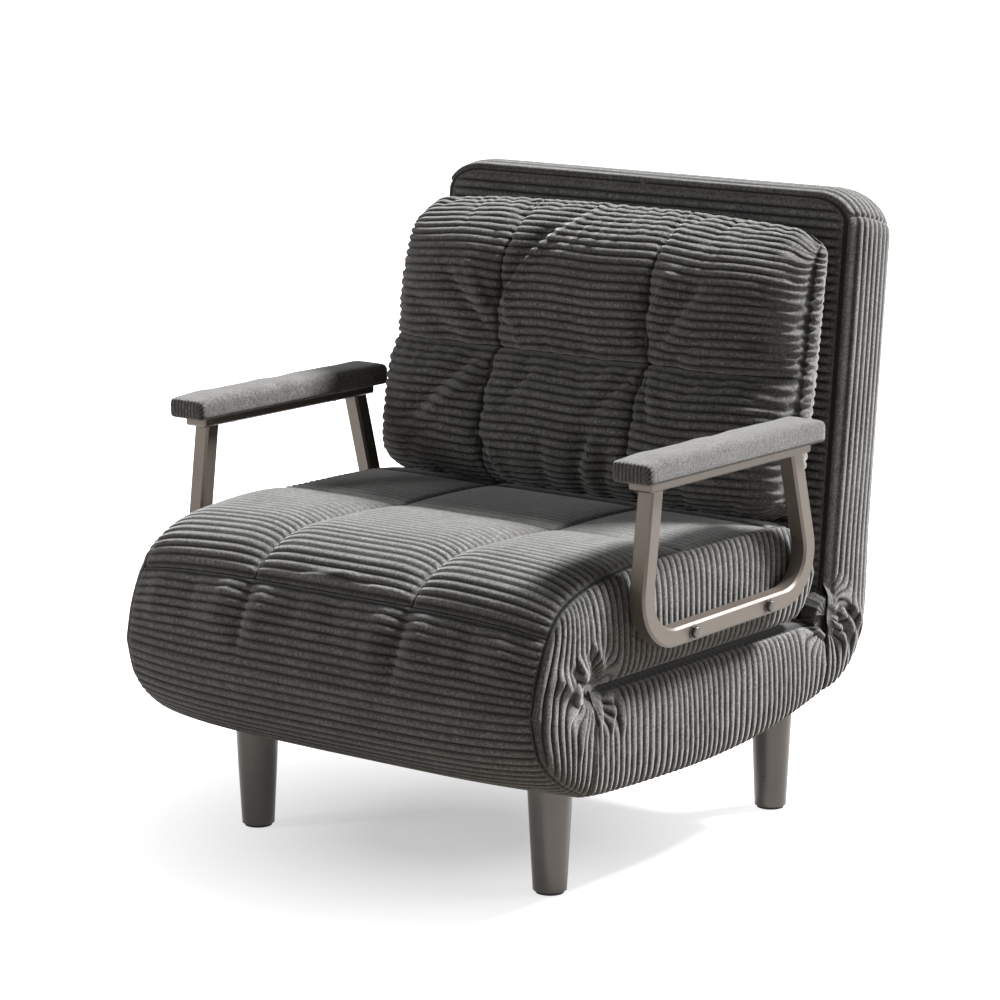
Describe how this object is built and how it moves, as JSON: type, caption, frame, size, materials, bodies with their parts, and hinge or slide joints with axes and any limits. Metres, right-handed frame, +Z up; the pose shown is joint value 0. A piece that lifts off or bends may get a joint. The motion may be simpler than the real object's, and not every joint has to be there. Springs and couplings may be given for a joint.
{
  "type": "single sofa bed",
  "caption": "Low upholstered armchair whose folded seat layer and backrest open flat into a single bed, with padded metal arms and tapered legs.",
  "frame": {"origin": "under the middle of the chair's bounding box, on the floor", "axes": "+Z up, +Y to the back of the chair, +X to the sitter's left"},
  "size_m": [0.784, 0.8006, 0.8321],
  "materials": {
    "corduroy": "wide-wale dark grey corduroy",
    "arm_cloth": "fine-ribbed dark grey cloth",
    "foam": "open-cell foam",
    "webbing": "elastic webbing",
    "plywood": "bare plywood",
    "arm_metal": "satin",
    "frame_steel": "matte",
    "dark_fixings": "satin",
    "black_plastic": "matte",
    "glide_rubber": "matte"
  },
  "bodies": {
    "base": {"base_cover": "corduroy", "base_foam": "foam", "base_frame": "frame_steel", "base_slats": "plywood", "front_fold": "corduroy", "front_hinge_base_left": "frame_steel", "front_hinge_base_right": "frame_steel", "front_hinge_pins": "dark_fixings", "front_leg_plates": "frame_steel", "leg_front_left": "arm_metal", "leg_front_right": "arm_metal", "leg_glides": "glide_rubber", "leg_rear_left": "arm_metal", "leg_rear_right": "arm_metal", "leg_studs": "dark_fixings", "rear_fold": "corduroy", "rear_hinge_base_left": "frame_steel", "rear_hinge_base_right": "frame_steel", "rear_hinge_pins": "dark_fixings", "rear_leg_brackets": "frame_steel"},
    "seat": {"arm_board_left": "plywood", "arm_board_right": "plywood", "arm_bolts": "dark_fixings", "arm_bushes": "black_plastic", "arm_loop_left": "arm_metal", "arm_loop_right": "arm_metal", "arm_pad_left": "arm_cloth", "arm_pad_right": "arm_cloth", "arm_rail_left": "arm_metal", "arm_rail_right": "arm_metal", "arm_screws_left": "dark_fixings", "arm_screws_right": "dark_fixings", "front_hinge_seat_left": "frame_steel", "front_hinge_seat_right": "frame_steel", "seat_cover": "corduroy", "seat_foam": "foam", "seat_foam_under": "foam", "seat_frame": "frame_steel", "seat_slats": "plywood"},
    "backrest": {"back_cover": "corduroy", "back_foam": "foam", "back_frame": "frame_steel", "back_straps": "webbing", "pawl_left": "dark_fixings", "pawl_right": "dark_fixings", "rear_hinge_back_left": "frame_steel", "rear_hinge_back_right": "frame_steel", "stand_brackets": "frame_steel", "stand_pins": "dark_fixings"},
    "stand": {"head_stand": "frame_steel", "head_stand_feet": "glide_rubber"},
    "pillow": {"back_pillow": "corduroy"}
  },
  "joints": [
    {"name": "seat_unfold", "type": "hinge", "parent": "base", "child": "seat", "pos_m": [0, -0.27929, 0.282], "axis": [1, 0, 0], "range_deg": [0, 180], "deforming": ["front_fold", "back_pillow"]},
    {"name": "backrest_recline", "type": "hinge", "parent": "base", "child": "backrest", "pos_m": [0, 0.23171, 0.282], "axis": [-1, 0, 0], "range_deg": [0, 84.4], "deforming": ["rear_fold"]},
    {"name": "stand_fold", "type": "hinge", "parent": "backrest", "child": "stand", "pos_m": [0, 0.38729, 0.72091], "axis": [1, 0, 0], "range_deg": [0, 90]},
    {"name": "pillow_lift", "type": "slide", "parent": "backrest", "child": "pillow", "axis": [0, 0.0976, 0.9952], "range_m": [0, 0.42]}
  ]
}
